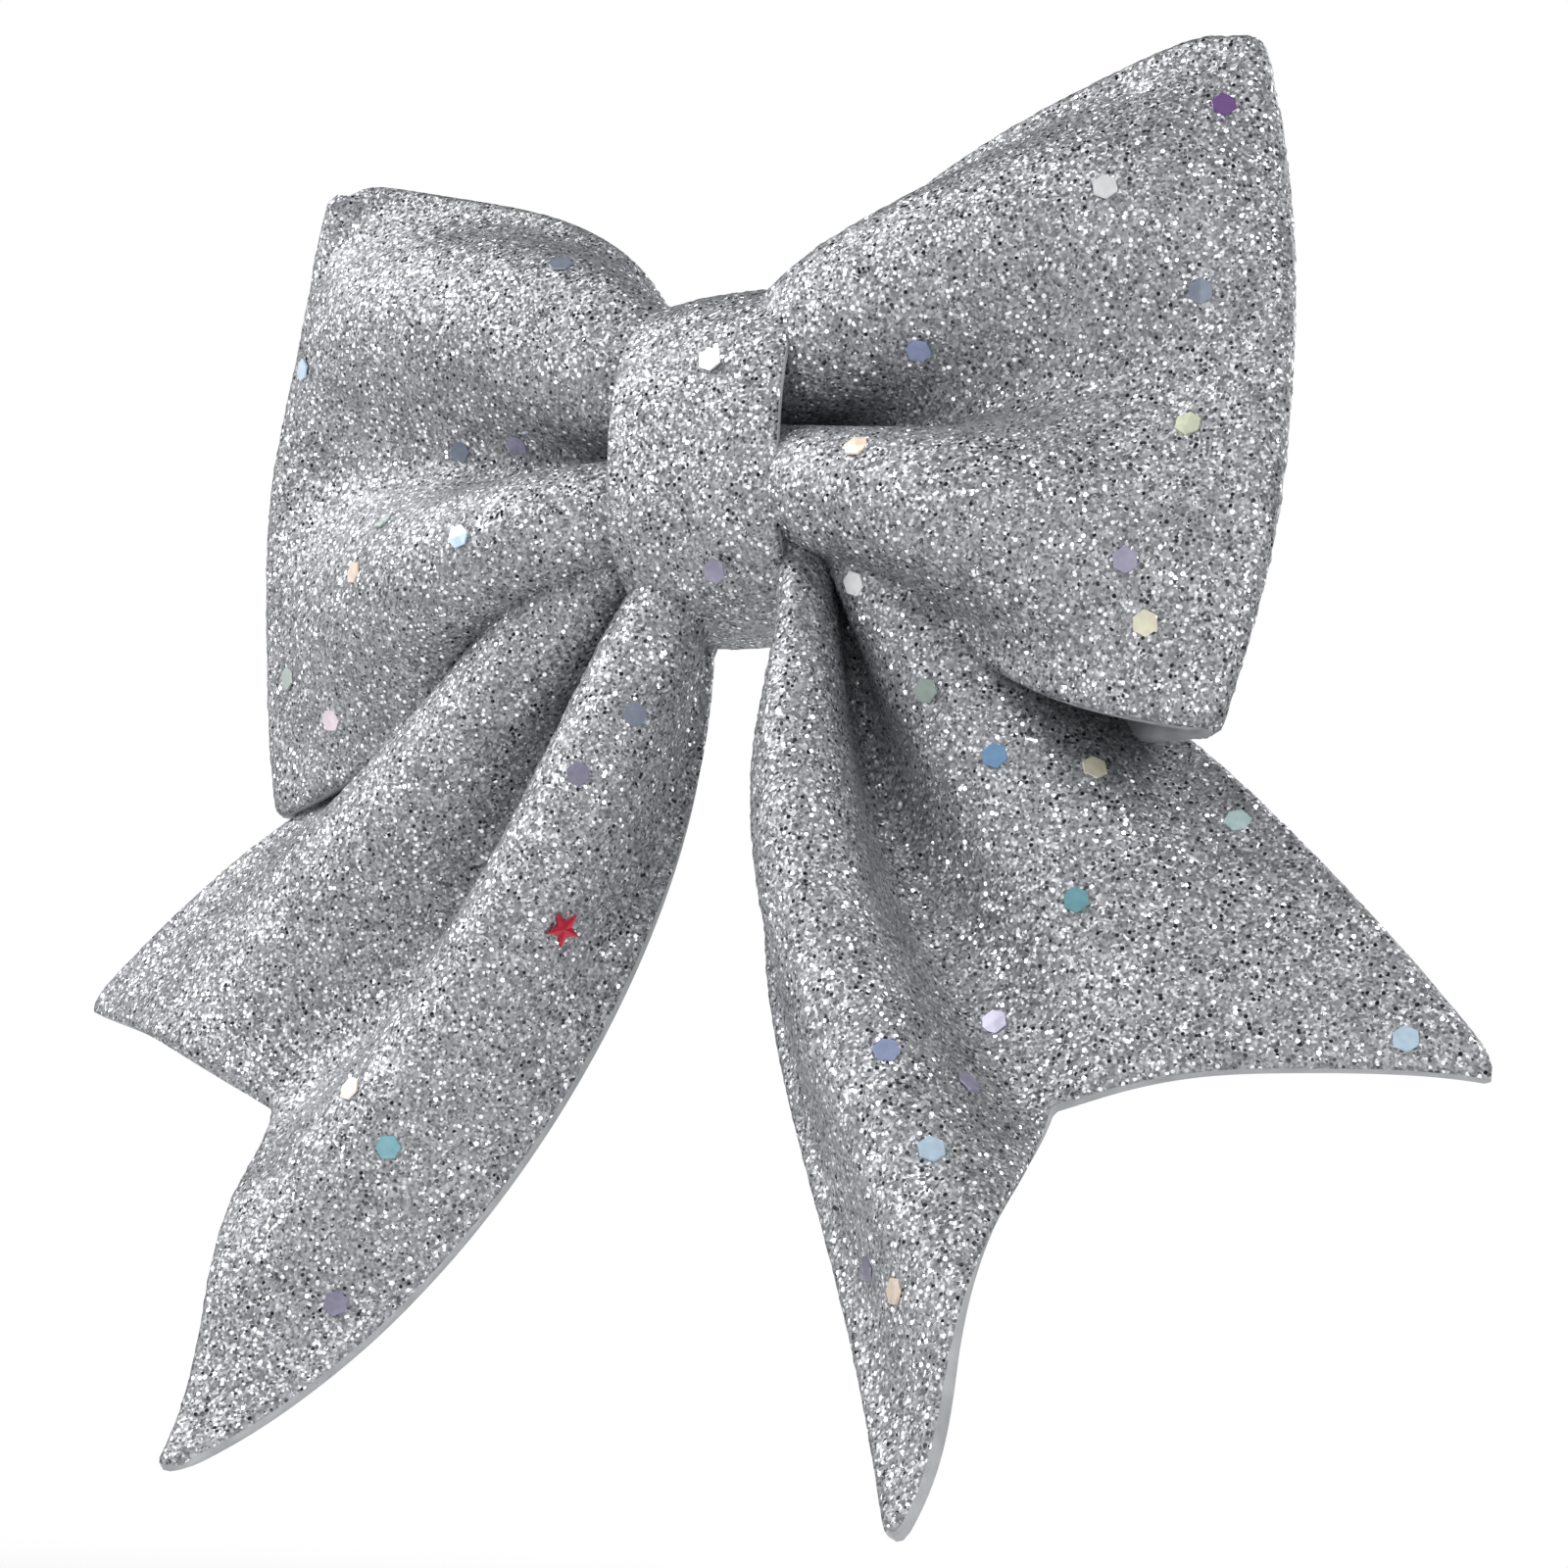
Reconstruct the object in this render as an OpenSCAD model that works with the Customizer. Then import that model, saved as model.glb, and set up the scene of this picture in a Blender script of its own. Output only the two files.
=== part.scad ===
// Ready-made gift bow: two pleated loops and two fishtail streamers of glitter foam
// ribbon, gathered in a knot and glued on a sprung alligator clip.
// Front faces -Y, +Z is up, +X is to the right seen from the front.
// The origin is the middle of the closed gap between the clip's jaws at their tips.

/* [Ribbon] */
// width of the foam ribbon, mm
ribbon_w = 57; // [40:1:70]
// thickness of the foam ribbon where it is free, mm
ribbon_t = 1.9; // [1:0.1:3]
// thickness of the foam where the knot squeezes it, mm
squeezed_t = 1.1; // [0.6:0.1:2]

/* [Loops] */
// how far the loops reach from the knot's middle, mm
loop_reach = 44.5; // [35:0.5:60]
// radius of the outer fold of the loops, mm
fold_r = 1.5; // [1.4:0.1:6]
// how far the outer fold bows past its corners, mm
fold_bow = 4; // [1:0.5:6]

/* [Streamers] */
// how far the streamers spread to the side, mm
tail_spread = 49; // [30:0.5:65]
// how far the streamers hang below the knot, mm
tail_drop = 70; // [40:0.5:90]
// share of the streamer's length that the notch leaves uncut
notch_share = 0.8; // [0.6:0.01:0.95]

/* [Knot] */
// width of the band around the knot, mm
band_w = 16; // [8:0.1:25]
// outer half height of the band, mm
band_rz = 14.8; // [10:0.1:20]
// outer half depth of the band, mm
band_ry = 11.6; // [6:0.1:14]
// thickness of the band, mm
band_t = 1.5; // [0.8:0.1:3]

/* [Clip] */
// length of the clip, mm
clip_l = 44; // [36:0.5:60]
// width of the clip, mm
clip_w = 8; // [6:0.5:12]
// thickness of the clip's sheet steel, mm
clip_t = 0.6; // [0.4:0.05:1]
// radius of the clip's pivot pin, mm
pin_r = 0.75; // [0.5:0.05:1.2]
// radial running clearance of the pivot, mm
pin_gap = 0.05; // [0.02:0.01:0.1]

/* [Flakes] */
// radius of a hexagonal confetti flake, mm
flake_r = 1.05; // [0.6:0.05:1.5]
// thickness of a confetti flake, mm
flake_t = 0.12; // [0.08:0.01:0.3]

/* [Hidden] */
$fn = 48;

// rows along a leg, columns across half the ribbon
rows = 16;
cols = 10;
// the knot's middle, seen from the origin in the clip's jaws
knot = [20, -15.15, 1.2];

silver = [0.74, 0.76, 0.79];
steel = [0.70, 0.71, 0.73];
glue = [0.93, 0.91, 0.84];

// ---- ribbon mathematics ----
function bez(c, a) = pow(1 - a, 3) * c[0] + 3 * pow(1 - a, 2) * a * c[1]
                   + 3 * (1 - a) * a * a * c[2] + pow(a, 3) * c[3];
function dbez(c, a) = pow(1 - a, 2) * (c[1] - c[0]) + 2 * (1 - a) * a * (c[2] - c[1])
                    + a * a * (c[3] - c[2]);
function unit(v) = v / norm(v);
function ones(m) = [for (k = [1:m]) 1];
function ease(x) = let (y = min(1, max(0, x))) y * y * (3 - 2 * y);

// a pleat: [up, out] after a share v of half the ribbon's width, for a wide swing p,
// a short swing q and an end curl c, all in degrees
function pleat(p, q, c, v) =
  let (m = 14,
       g = [for (k = [0.5:1:m]) let (t = v * k / m) p * sin(360 * t) + q * sin(720 * t) - c * t * t])
  ribbon_w / 2 * v / m * [[for (x = g) cos(x)] * ones(m), [for (x = g) sin(x)] * ones(m)];

// a leg is [side, path, fan, lean, swing above, swing below, short swing, curl]
function leg_pt(L, a, v) =
  let (s = L[0],
       t = unit(dbez(L[1], a)),
       f = bez(L[2], a),
       n = bez(L[3], a),
       eh = [s * sin(f) * cos(n), sin(n), cos(f) * cos(n)],
       en = s * unit(cross(t, eh)),
       h = v >= 0 ? pleat(bez(L[4], a), bez(L[6], a), 0, v)
                  : pleat(bez(L[5], a), bez(L[6], a), bez(L[7], a), -v))
  bez(L[1], a) + (v >= 0 ? 1 : -1) * h[0] * eh + h[1] * en;

function mirror_x(P, s) = [for (p = P) [s * p[0], p[1], p[2]]];
none = [0, 0, 0, 0];

// the two sides differ a little, as hand-made bows do
function side(s, right, left) = s > 0 ? right : left;
function edge(s) = [8, 3, s];
// the loops' outer folds stand a little twisted, the right one up and the left one down
function fold_end(s, y) = [loop_reach, y, side(s, 1.5, -1)];
function fold_fan(s) = side(s, 0, -5);
function fold_lean(s) = 5 * s;

// paths are [knot edge, leaving, arriving, end]; fan, lean and swings are at the same four
function front_leg(s) =
  [s, mirror_x([edge(s), [16, -3.5, -3], [31, -2, 5], fold_end(s, -2)], s),
   [0, -10, 10, fold_fan(s)], [0, 0, 5, fold_lean(s)],
   side(s, [100, 40, 60, 0], [90, 20, 70, 0]), [110, 90, 40, 0], [30, 20, 0, 0], none];

function back_leg(s) =
  [s, mirror_x([edge(s) + [0, 1.5, 0.5], [20, 12, side(s, 0, -7)], [31, 10, 5],
                fold_end(s, 2 * fold_r - 2)], s),
   [0, 0, 5, fold_fan(s)], [0, -10, -5, fold_lean(s)],
   [0, 5, 15, 0], [0, 5, 10, 0], [-100, -10, -10, 0], none];

function tail_leg(s) =
  [s, mirror_x([side(s, [9, 4, -9], [4, 5, -8]), [13, 0, side(s, -32, -27)], [20, 0, -43],
                [tail_spread + side(s, 0, 1), -12.5, side(s, 0, 3) - tail_drop]], s),
   side(s, [10, 75, 10, 45], [50, 80, 35, 40]), side(s, [10, 40, 10, 30], [0, 20, 0, 25]),
   side(s, [115, 70, 30, -15], [115, 85, 40, 5]), side(s, [115, 70, 90, 25], [120, 80, 80, 0]),
   [20, 10, 0, 0], [55, 10, 0, 0]];

V = [for (j = [-cols:cols]) j / cols];
function thick(a) = squeezed_t + (ribbon_t - squeezed_t) * ease(a / 0.25);

// moves a row out to its bowed fold
function shift(s, a, v) = [s * (fold_bow * (1 - v * v) - fold_r) * a * a, 0, 0];
function loop_row(L, a) = [for (v = V) leg_pt(L, a, v) + shift(L[0], a, v)];
function level(d) = unit([d[0], d[1], 0]);
// one row of the fold: it leaves the front layer and meets the back layer without a crease
function arc_row(f, fi, b, bi, t) =
  [for (j = [0:2 * cols])
     let (go = norm(f[j] - b[j]) * 2 / 3,
          f2 = f[j] + go * level(f[j] - fi[j]),
          b2 = b[j] + go * level(b[j] - bi[j]))
     bez([f[j], f2, b2, b[j]], t)];
function blend(f, b, k) = [for (j = [0:len(f) - 1]) f[j] * (1 - k) + b[j] * k];
function squeeze(r, k) = [for (p = r) [p[0], p[1] * (k - 0.1) + 0.3, p[2] * k - (1 - k) * 1.5]];

// a side of a strip as rows of [points, thickness]
function loop_side(s) =
  let (F = front_leg(s), B = back_leg(s),
       f1 = loop_row(F, 1), b1 = loop_row(B, 1), fi = loop_row(F, 0.98), bi = loop_row(B, 0.98))
  concat([for (i = [0:rows]) [loop_row(F, i / rows), thick(i / rows)]],
         [for (t = [1:5]) [arc_row(f1, fi, b1, bi, t / 6), ribbon_t]],
         [for (i = [rows:-1:0]) [loop_row(B, i / rows), thick(i / rows)]]);

function loop_rows() =
  let (R = loop_side(1), L = loop_side(-1), n = len(R) - 1,
       fr = R[0][0], fl = L[0][0], br = R[n][0], bl = L[n][0])
  concat([[squeeze(blend(fl, fr, 0.5), 0.93), squeezed_t]],
         R,
         [[squeeze(blend(br, bl, 0.5), 0.93), squeezed_t]],
         [for (i = [n:-1:0]) L[i]]);

function tail_row(L, k) =
  let (uncut = notch_share + side(L[0], 0, 0.05))
  [for (v = V) leg_pt(L, k * (uncut + (1 - uncut) * abs(v)), v)];

function tail_rows() =
  let (R = tail_leg(1), L = tail_leg(-1), n = rows + 2)
  concat([for (i = [n:-1:0]) [tail_row(L, i / n), thick(i / n)]],
         [[squeeze(blend(tail_row(L, 0), tail_row(R, 0), 0.5), 0.93), squeezed_t]],
         [for (i = [0:n]) [tail_row(R, i / n), thick(i / n)]]);

// a sheet of rows with a thickness; ring joins the last row to the first
module sheet(rws, ring) {
  n = len(rws);
  m = len(rws[0][0]);
  P = [for (r = rws) r[0]];
  N = [for (i = [0:n - 1]) [for (j = [0:m - 1])
        let (i0 = ring ? (i + n - 1) % n : max(0, i - 1), i1 = ring ? (i + 1) % n : min(n - 1, i + 1),
             j0 = max(0, j - 1), j1 = min(m - 1, j + 1))
        unit(cross(P[i1][j] - P[i0][j], P[i][j1] - P[i][j0])) * rws[i][1] / 2]];
  top = [for (i = [0:n - 1]) for (j = [0:m - 1]) P[i][j] + N[i][j]];
  bot = [for (i = [0:n - 1]) for (j = [0:m - 1]) P[i][j] - N[i][j]];
  o = n * m;
  q = ring ? n - 1 : n - 2;
  skin = [for (i = [0:q]) for (j = [0:m - 2])
           let (a = i * m + j, b = ((i + 1) % n) * m + j)
           each [[a, a + 1, b + 1], [a, b + 1, b],
                 [o + a, o + b + 1, o + a + 1], [o + a, o + b, o + b + 1]]];
  sides = [for (i = [0:q])
            let (a = i * m, b = ((i + 1) % n) * m, c = a + m - 1, d = b + m - 1)
            each [[a, b, o + b], [a, o + b, o + a], [c, o + d, d], [c, o + c, o + d]]];
  ends = ring ? [] : [for (j = [0:m - 2])
            let (a = j, b = (n - 1) * m + j)
            each [[a, o + a + 1, a + 1], [a, o + a, o + a + 1],
                  [b, b + 1, o + b + 1], [b, o + b + 1, o + b]]];
  polyhedron(points = concat(top, bot), faces = concat(skin, sides, ends));
}

module loop_ribbon() {
  color(silver) translate(knot) sheet(loop_rows(), true);
}

module streamer_ribbon() {
  color(silver) translate(knot) sheet(tail_rows(), false);
}

// ---- knot band: a strip wrapped once round the knot, its ends lapped at the back ----
function power(x, e) = sign(x) * pow(abs(x), e);
// the band's middle, seen from the knot's, and how far its ends lap, degrees
band_c = [1.5, 0.4, -1.6];
lap = 44;
// how square the band's section is: 1 is an ellipse, less is boxier
boxy = 0.78;
// strip row at turn h, from the start behind the knot over the front to the lapped end
function band_row(h, n) =
  let (up = (band_t + 0.25) * ease((h - 300) / 60))
  [for (j = [-n:n]) let (u = j / n, in = 0.6 * pow(abs(u), 3) + 0.1 * u * u)
     band_c + [u * (band_w / 2 - 1.1 * pow(abs(sin(h)), 4) * (h < 330 ? 1 : 0)),
               (band_ry - band_t / 2 + up - in) * power(cos(h), boxy),
               (band_rz - band_t / 2 + up - in) * power(sin(h), boxy)]];
module knot_band() {
  color(silver) translate(knot)
    sheet([for (h = [4:8:360 + lap]) [band_row(h, 4), band_t]], false);
}

// two turns of wire that cinch the ribbon in the knot, joined by a slanted crossing
module wire_turn(x) {
  translate(knot + [x, band_c[1], band_c[2]]) rotate([90, 0, 90])
    linear_extrude(0.5, center = true) difference() {
      offset(0.5) wire_hole();
      wire_hole();
    }
}
module wire_hole() {
  inset = band_t + 0.75;
  polygon([for (h = [0:7.5:352.5])
    [(band_ry - inset) * power(cos(h), boxy), (band_rz - inset) * power(sin(h), boxy)]]);
}
module binding_wire() {
  color(steel) {
    wire_turn(0.6);
    wire_turn(1.6);
    translate(knot + band_c + [-0.4, band_ry - band_t - 0.25, 0]) cube([1.4, 0.4, 2], center = true);
  }
}

module band_glue() {
  color(glue) translate(knot + band_c + [0, band_ry + 0.12, 0])
    cube([9, 0.12, 5], center = true);
}

// ---- clip glue: a flat pad between the lapped band and the clip ----
clip_face = -0.15;
clip_front = clip_face - clip_t;
module clip_glue() {
  color(glue) translate([knot[0] + 1.2, clip_front - 0.19, 0])
    cube([11, 0.34, 6], center = true);
}

// ---- clip: all its pieces are laid out in the X-Y plane, tips at x = 0 ----
pivot = [clip_l - 15, 3.1];
half = clip_w / 2;
// side view of something, given as a polygon, swept across the clip
module swept(w) {
  linear_extrude(w, center = true) children();
}
module ear_shape() {
  hull() {
    translate(pivot) circle(1.9);
    translate([pivot[0] - 3, clip_face]) square([6, 0.1]);
  }
}
module clip_base() {
  color(steel) difference() {
    union() {
      // long flat arm with a rounded tip
      translate([0, clip_face, 0]) rotate([90, 0, 0]) linear_extrude(clip_t) {
        translate([half - 1, 0]) circle(half);
        translate([half - 1, -half]) square([clip_l - half - 1, clip_w]);
      }
      // two ears that hold the pivot pin
      for (s = [-1, 1]) translate([0, 0, s * (half - clip_t / 2)]) swept(clip_t) ear_shape();
      // teeth folded up at the tip
      for (x = [2:1.6:6.8], s = [-1, 1])
        translate([x, clip_face - 0.05, s * (half - 0.35)]) rotate([-90, 0, 0])
          cylinder(h = 0.55, r1 = 0.33, r2 = 0.12, $fn = 16);
    }
    // pin bore through both ears
    translate([pivot[0], pivot[1], 0]) cylinder(h = clip_w + 2, r = pin_r + pin_gap, center = true);
    // round hole pressed through the arm
    translate([14, clip_face - clip_t / 2, 0]) rotate([90, 0, 0])
      cylinder(h = 3, r = 1.1, center = true);
  }
}

// outline of the lever seen from its side: jaw, pivot cheek and thumb plate
jaw_low = 0.15;
function lever_top(x) = 1.5 + x * 0.13;
module lever_outline() {
  polygon([[-0.6, jaw_low], [-0.6, 1.2], [0.4, lever_top(0.4)], [pivot[0] - 5, lever_top(pivot[0] - 5)],
           [pivot[0] + 1, lever_top(pivot[0]) + 0.6], [clip_l - 0.5, 9.2], [clip_l - 0.2, 8.6],
           [pivot[0] + 2.6, 3.4], [pivot[0] + 1.4, 1.5], [pivot[0] - 2, 1.3], [12, 0.9],
           [9.6, jaw_low]]);
}
// what is hollowed out of the channel between its two cheeks
module lever_hollow() {
  polygon([[0, -1], [0, 1], [0.7, lever_top(0.7) - clip_t],
           [pivot[0] - 5, lever_top(pivot[0] - 5) - clip_t],
           [pivot[0] + 1, lever_top(pivot[0]) + 0.6 - clip_t], [clip_l + 1, 8.9], [clip_l + 1, -1]]);
}
lever_w = clip_w - 2 * clip_t - 0.3;
module clip_lever() {
  color(steel) difference() {
    swept(lever_w) lever_outline();
    swept(lever_w - 2 * clip_t) lever_hollow();
    translate([pivot[0], pivot[1], 0]) cylinder(h = clip_w, r = pin_r + pin_gap, center = true);
    // notches between the teeth
    for (x = [1:1.5:8.5]) translate([x, jaw_low, 0]) rotate([0, 0, 45])
      cube([0.6, 0.6, clip_w], center = true);
    // two round holes in the lever's back
    for (x = [7, 10]) translate([x, 2, 0]) rotate([90, 0, 0])
      cylinder(h = 6, r = 1, center = true);
  }
}

module clip_pin() {
  color(steel) {
    translate([pivot[0], pivot[1], 0]) cylinder(h = clip_w + 0.5, r = pin_r, center = true);
    for (s = [-1, 1]) translate([pivot[0], pivot[1], s * (half + 0.25)])
      cylinder(h = 0.4, r = pin_r + 0.45, center = true);
  }
}

// torsion spring: a coil round the pin and two straight arms
wire_r = 0.28;
coil_r = 1.35;
turns = 5;
module clip_spring() {
  color(steel) {
    for (k = [0:turns - 1])
      translate([pivot[0], pivot[1], (k - (turns - 1) / 2) * 0.62])
        rotate_extrude() translate([coil_r, 0]) circle(wire_r + 0.04, $fn = 16);
    // arm along the base, on the coil's low side
    translate([pivot[0], pivot[1] - coil_r, -(turns - 1) / 2 * 0.62]) rotate([0, 0, 190])
      rotate([0, 90, 0]) cylinder(h = 8, r = wire_r, $fn = 16);
    // arm along the lever, on the coil's high side
    translate([pivot[0], pivot[1] + coil_r, (turns - 1) / 2 * 0.62]) rotate([0, 0, 189.5])
      rotate([0, 90, 0]) cylinder(h = 7.5, r = wire_r, $fn = 16);
  }
}

// ---- confetti set in the glitter: [side, leg, share along, share across] ----
// leg 0 is the loop's front, leg 1 the streamer
FLAKES = [[1, 0, 0.95, 0.75], [1, 0, 0.75, 0.50], [1, 0, 0.40, 0.25], [1, 0, 0.90, -0.20],
          [1, 0, 0.85, -0.60], [1, 0, 0.90, -0.75], [1, 0, 0.90, 0.20], [1, 0, 0.35, -0.40],
          [-1, 0, 0.40, 0.10], [-1, 0, 0.55, 0.05], [-1, 0, 0.35, -0.05], [-1, 0, 0.30, 0.70],
          [-1, 0, 0.65, -0.30], [-1, 0, 0.40, -0.50], [-1, 0, 0.70, -0.45], [-1, 0, 0.85, -0.80],
          [-1, 0, 0.95, 0.40], [-1, 0, 0.95, -0.60], [1, 1, 0.15, 0.40], [1, 1, 0.35, 0.40],
          [1, 1, 0.50, 0.45], [1, 1, 0.60, 0.65], [1, 1, 0.75, 0.90], [1, 1, 0.70, 0.40],
          [1, 1, 0.95, 0.85], [1, 1, 0.70, 0.00], [1, 1, 0.70, -0.45], [1, 1, 0.75, -0.25],
          [1, 1, 0.80, -0.45], [1, 1, 0.80, -0.80], [1, 1, 0.85, -0.70], [-1, 1, 0.25, -0.60],
          [-1, 1, 0.35, -0.55], [-1, 1, 0.75, -0.45], [-1, 1, 0.75, -0.65], [-1, 1, 0.85, -0.85],
          [-1, 1, 0.40, -0.20]];
function flake_leg(f) = f[1] == 0 ? front_leg(f[0]) : tail_leg(f[0]);
module on_ribbon(f, lift_by) {
  L = flake_leg(f);
  e = 0.01;
  move = f[1] == 0 ? shift(f[0], f[2], f[3]) : [0, 0, 0];
  p = leg_pt(L, f[2], f[3]) + move + knot;
  du = leg_pt(L, f[2] + e, f[3]) - leg_pt(L, f[2] - e, f[3]);
  dv = leg_pt(L, f[2], f[3] + e) - leg_pt(L, f[2], f[3] - e);
  z = unit(cross(du, dv)) * f[0];
  x = unit(du);
  y = cross(z, x);
  c = p + z * (thick(f[2]) / 2 + lift_by);
  multmatrix([for (k = [0:2]) [x[k], y[k], z[k], c[k]]]) children();
}
module hex_flakes() {
  color([0.80, 0.84, 0.92]) {
    for (f = FLAKES) on_ribbon(f, 0.12) rotate(f[2] * 700) cylinder(h = flake_t, r = flake_r, $fn = 6);
    // two flakes on the band, above and below its middle
    for (f = [[2, 6], [3, -11.5]])
      translate(knot + band_c + [f[0], -band_ry - 0.02, f[1]]) rotate([90, 0, 0])
        cylinder(h = flake_t, r = flake_r, $fn = 6);
  }
}
module star_flake() {
  color([0.70, 0.05, 0.10]) on_ribbon([-1, 1, 0.50, -0.70], 0.14)
    linear_extrude(flake_t + 0.05)
      polygon([for (k = [0:9]) (k % 2 == 0 ? 1.6 : 0.72) * [cos(36 * k + 20), sin(36 * k + 20)]]);
}

loop_ribbon();
streamer_ribbon();
knot_band();
binding_wire();
band_glue();
clip_glue();
clip_base();
clip_lever();
clip_pin();
clip_spring();
hex_flakes();
star_flake();
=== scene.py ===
import bpy, bmesh, itertools, math
import numpy as np
from mathutils import Matrix, Vector


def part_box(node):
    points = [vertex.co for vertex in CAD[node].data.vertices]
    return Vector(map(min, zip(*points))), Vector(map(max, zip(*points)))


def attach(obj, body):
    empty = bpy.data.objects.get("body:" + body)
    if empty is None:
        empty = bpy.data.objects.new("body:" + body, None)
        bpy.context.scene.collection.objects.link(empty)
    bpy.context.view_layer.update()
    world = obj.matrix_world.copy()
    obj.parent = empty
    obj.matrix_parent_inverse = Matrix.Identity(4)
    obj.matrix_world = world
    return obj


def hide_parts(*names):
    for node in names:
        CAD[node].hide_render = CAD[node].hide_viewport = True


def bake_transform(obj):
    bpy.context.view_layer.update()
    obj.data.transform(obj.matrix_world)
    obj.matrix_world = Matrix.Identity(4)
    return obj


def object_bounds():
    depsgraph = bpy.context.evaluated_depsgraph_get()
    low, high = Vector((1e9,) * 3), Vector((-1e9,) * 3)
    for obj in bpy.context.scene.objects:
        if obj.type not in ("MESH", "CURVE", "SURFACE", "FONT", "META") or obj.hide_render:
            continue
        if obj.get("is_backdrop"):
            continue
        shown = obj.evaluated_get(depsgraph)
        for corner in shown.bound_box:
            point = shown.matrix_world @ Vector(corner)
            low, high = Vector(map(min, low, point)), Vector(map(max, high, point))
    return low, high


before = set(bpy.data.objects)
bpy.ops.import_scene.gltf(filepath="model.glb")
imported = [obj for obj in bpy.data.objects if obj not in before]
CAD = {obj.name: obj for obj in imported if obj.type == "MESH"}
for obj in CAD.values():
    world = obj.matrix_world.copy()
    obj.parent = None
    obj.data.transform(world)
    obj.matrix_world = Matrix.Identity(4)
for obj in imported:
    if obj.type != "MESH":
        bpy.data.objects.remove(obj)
cad_lo, cad_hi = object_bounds()
MM = 0.001
rng = np.random.default_rng(17)

# sizes as in the CAD, mm: the knot's middle, the band's middle seen from it, the ribbon's
# width and its thickness where it is free and where the knot squeezes it
KNOT = np.array([20.0, -15.15, 1.2])
BAND_C = np.array([1.5, 0.4, -1.6])
W, T_FREE, T_KNOT = 57.0, 1.9, 1.1
LOOP_REACH, FOLD_R, FOLD_BOW = 44.5, 1.5, 4.0
BAND_W, BAND_RZ, BAND_RY, BAND_T, LAP = 16, 14.8, 11.6, 1.5, 44
BOXY = 0.78          # how square the band's section is; 1 is an ellipse
FOLD_ROWS = 22       # rows of the loops' outer fold
CROSS_ROWS = 8       # rows from the knot's edge to its middle
KNOT_SQUEEZE = 0.93  # how far the rows are drawn together in the knot's middle

# ------------------------------------------------------------------ camera
def turn(az, el, roll):
    """the camera's right, up and back directions"""
    a, e, r = map(math.radians, (az, el, roll))
    b = Vector((math.sin(a) * math.cos(e), -math.cos(a) * math.cos(e), math.sin(e)))
    x = Vector((math.cos(a), math.sin(a), 0))
    y = b.cross(x)
    return x * math.cos(r) + y * math.sin(r), y * math.cos(r) - x * math.sin(r), b

right, up, back = turn(30, -10, 3)
cam = bpy.data.objects.new("camera", bpy.data.cameras.new("camera"))
bpy.context.collection.objects.link(cam)
cam.data.sensor_width, cam.data.lens = 36, 67.5
cam.data.clip_start, cam.data.clip_end = 0.01, 20
# how far the camera is from the knot, and to its side and below it, metres
DISTANCE, ASIDE, BELOW = 0.249, 0.0038, 0.028
eye = Vector(KNOT * MM) + back * DISTANCE + right * ASIDE - up * BELOW
m = Matrix((right, up, back)).transposed().to_4x4()
m.translation = eye
cam.matrix_world = m
bpy.context.scene.camera = cam

# ------------------------------------------------------------------ ribbon mathematics, the same as the CAD's
rad = np.radians

def bez(c, a):
    c = np.asarray(c, float)
    a = a[..., None] if c.ndim == 2 else a
    b = 1 - a
    return b ** 3 * c[0] + 3 * b ** 2 * a * c[1] + 3 * b * a * a * c[2] + a ** 3 * c[3]

def dbez(c, a):
    c, a = np.asarray(c, float), a[..., None]
    return (1 - a) ** 2 * (c[1] - c[0]) + 2 * (1 - a) * a * (c[2] - c[1]) + a * a * (c[3] - c[2])

def unit(v):
    return v / np.maximum(np.linalg.norm(v, axis=-1, keepdims=True), 1e-12)

def ease(x):
    x = np.clip(x, 0, 1)
    return x * x * (3 - 2 * x)

def pleat(p, q, c, v, m=28):
    """up and out after a share v of half the width: wide swing p, short swing q, end curl c"""
    t = v[..., None] * (np.arange(m) + 0.5) / m
    g = (p[..., None] * np.sin(2 * np.pi * t) + q[..., None] * np.sin(4 * np.pi * t)
         - c[..., None] * t * t)
    return W / 2 * v * np.cos(g).mean(-1), W / 2 * v * np.sin(g).mean(-1)

def leg_pt(L, a, v):
    """the point a share a along leg L and a share v across it"""
    s, K = L["side"], np.array(L["path"], float) * [L["side"], 1, 1]
    t, fan, lean = unit(dbez(K, a)), rad(bez(L["fan"], a)), rad(bez(L["lean"], a))
    eh = np.stack([s * np.sin(fan) * np.cos(lean), np.sin(lean), np.cos(fan) * np.cos(lean)], -1)
    en = s * unit(np.cross(t, eh))
    hi = v >= 0
    h, n = pleat(rad(np.where(hi, bez(L["above"], a), bez(L["below"], a))), rad(bez(L["short"], a)),
                 rad(np.where(hi, 0, bez(L["curl"], a))), np.abs(v))
    return bez(K, a) + np.where(hi, h, -h)[..., None] * eh + n[..., None] * en

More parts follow.
